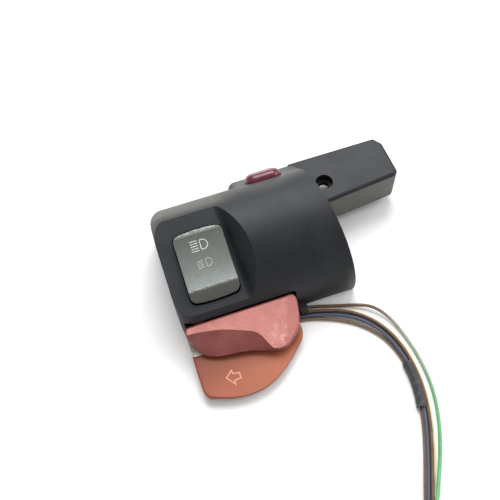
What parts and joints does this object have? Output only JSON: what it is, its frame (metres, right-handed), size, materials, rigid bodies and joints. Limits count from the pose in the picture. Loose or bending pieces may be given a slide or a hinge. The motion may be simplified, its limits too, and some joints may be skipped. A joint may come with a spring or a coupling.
{
  "type": "handlebar switch cluster",
  "caption": "Left handlebar switch cluster with grey dimmer rocker, pink horn and orange turn signal paddles, dark red button, bracket arm, loose wires and loom.",
  "frame": {"origin": "the handlebar's axis, half way along the housing's drum, in the plane where the front housing meets the clamp's other half", "axes": "+X along the handlebar towards the lever bracket arm, +Y away from the paddles, +Z from the bar to the rider's side of the housing"},
  "size_m": [0.1129, 0.2492, 0.038],
  "materials": {
    "black_housing": "faded satin",
    "black_cover": "satin",
    "zinc_steel": "zinc plated",
    "black_carrier": "matt",
    "contact_brass": "dulled",
    "grey_rocker": "worn gloss",
    "white_nylon": "matt",
    "spring_steel": "drawn wire",
    "pin_steel": "turned",
    "pink_horn": "sun faded",
    "orange_paddle": "sun faded",
    "maroon_button": "gloss",
    "black_outlet": "matt",
    "black_tape": "satin",
    "sleeve_vinyl": "dull",
    "cream_wire": "satin",
    "grey_wire": "satin",
    "brown_wire": "satin",
    "dark_brown_wire": "satin",
    "blue_wire": "satin",
    "green_wire": "satin",
    "black_sheath": "satin",
    "connector_nylon": "matt",
    "terminal_brass": "bright"
  },
  "bodies": {
    "base": {"front_housing": "black_housing", "rear_cover": "black_cover", "cover_screws": "zinc_steel", "rocker_frame": "black_carrier", "rocker_frame_screws": "zinc_steel", "dimmer_contacts": "contact_brass", "paddle_carrier": "black_carrier", "paddle_carrier_screws": "zinc_steel", "horn_pin": "pin_steel", "horn_spring": "spring_steel", "horn_contacts": "contact_brass", "nylon_stop": "white_nylon", "turn_pin": "pin_steel", "turn_spring": "spring_steel", "turn_contacts": "contact_brass", "button_guide": "black_carrier", "button_spring": "spring_steel", "button_contacts": "contact_brass", "cable_outlet": "black_outlet", "inner_loom": "black_tape", "wire_cream": "cream_wire", "wire_grey": "grey_wire", "wire_brown": "brown_wire", "wire_dark_brown": "dark_brown_wire", "wire_blue": "blue_wire", "wire_green": "green_wire", "torn_sleeve": "sleeve_vinyl", "loom_sleeve": "sleeve_vinyl", "sheath_lead": "black_sheath", "sheath_coil": "black_sheath", "connector_body": "connector_nylon", "connector_terminals": "terminal_brass", "connector_latch": "connector_nylon"},
    "rocker": {"rocker_cap": "grey_rocker", "rocker_blades": "contact_brass", "detent_plunger": "white_nylon", "detent_spring": "spring_steel"},
    "horn": {"horn_paddle": "pink_horn", "horn_bridge": "contact_brass"},
    "turn": {"turn_paddle": "orange_paddle", "turn_bridge": "contact_brass"},
    "button": {"button_cap": "maroon_button", "button_bridge": "contact_brass"}
  },
  "joints": [
    {"name": "rocker_tilt", "type": "hinge", "parent": "base", "child": "rocker", "pos_m": [-0.0201, -0.00377, 0.02317], "axis": [1, 0, 0], "range_deg": [-7, 7]},
    {"name": "horn_press", "type": "hinge", "parent": "base", "child": "horn", "pos_m": [-0.0302, -0.0203, 0.009], "axis": [0, 0, 1], "range_deg": [0, 3], "stiffness_Nm_per_rad": 0.6, "springref_deg": -2.86, "deforming": ["horn_spring"]},
    {"name": "turn_press", "type": "hinge", "parent": "base", "child": "turn", "pos_m": [-0.012, -0.0212, 0.0047], "axis": [1, 0, 0], "range_deg": [0, 3], "stiffness_Nm_per_rad": 0.5, "springref_deg": -2.86, "deforming": ["turn_spring"]},
    {"name": "button_press", "type": "slide", "parent": "base", "child": "button", "axis": [0, -0.6528, -0.7575], "range_m": [0, 0.002], "stiffness_N_per_m": 600, "springref_m": -0.002, "deforming": ["button_spring"]}
  ]
}
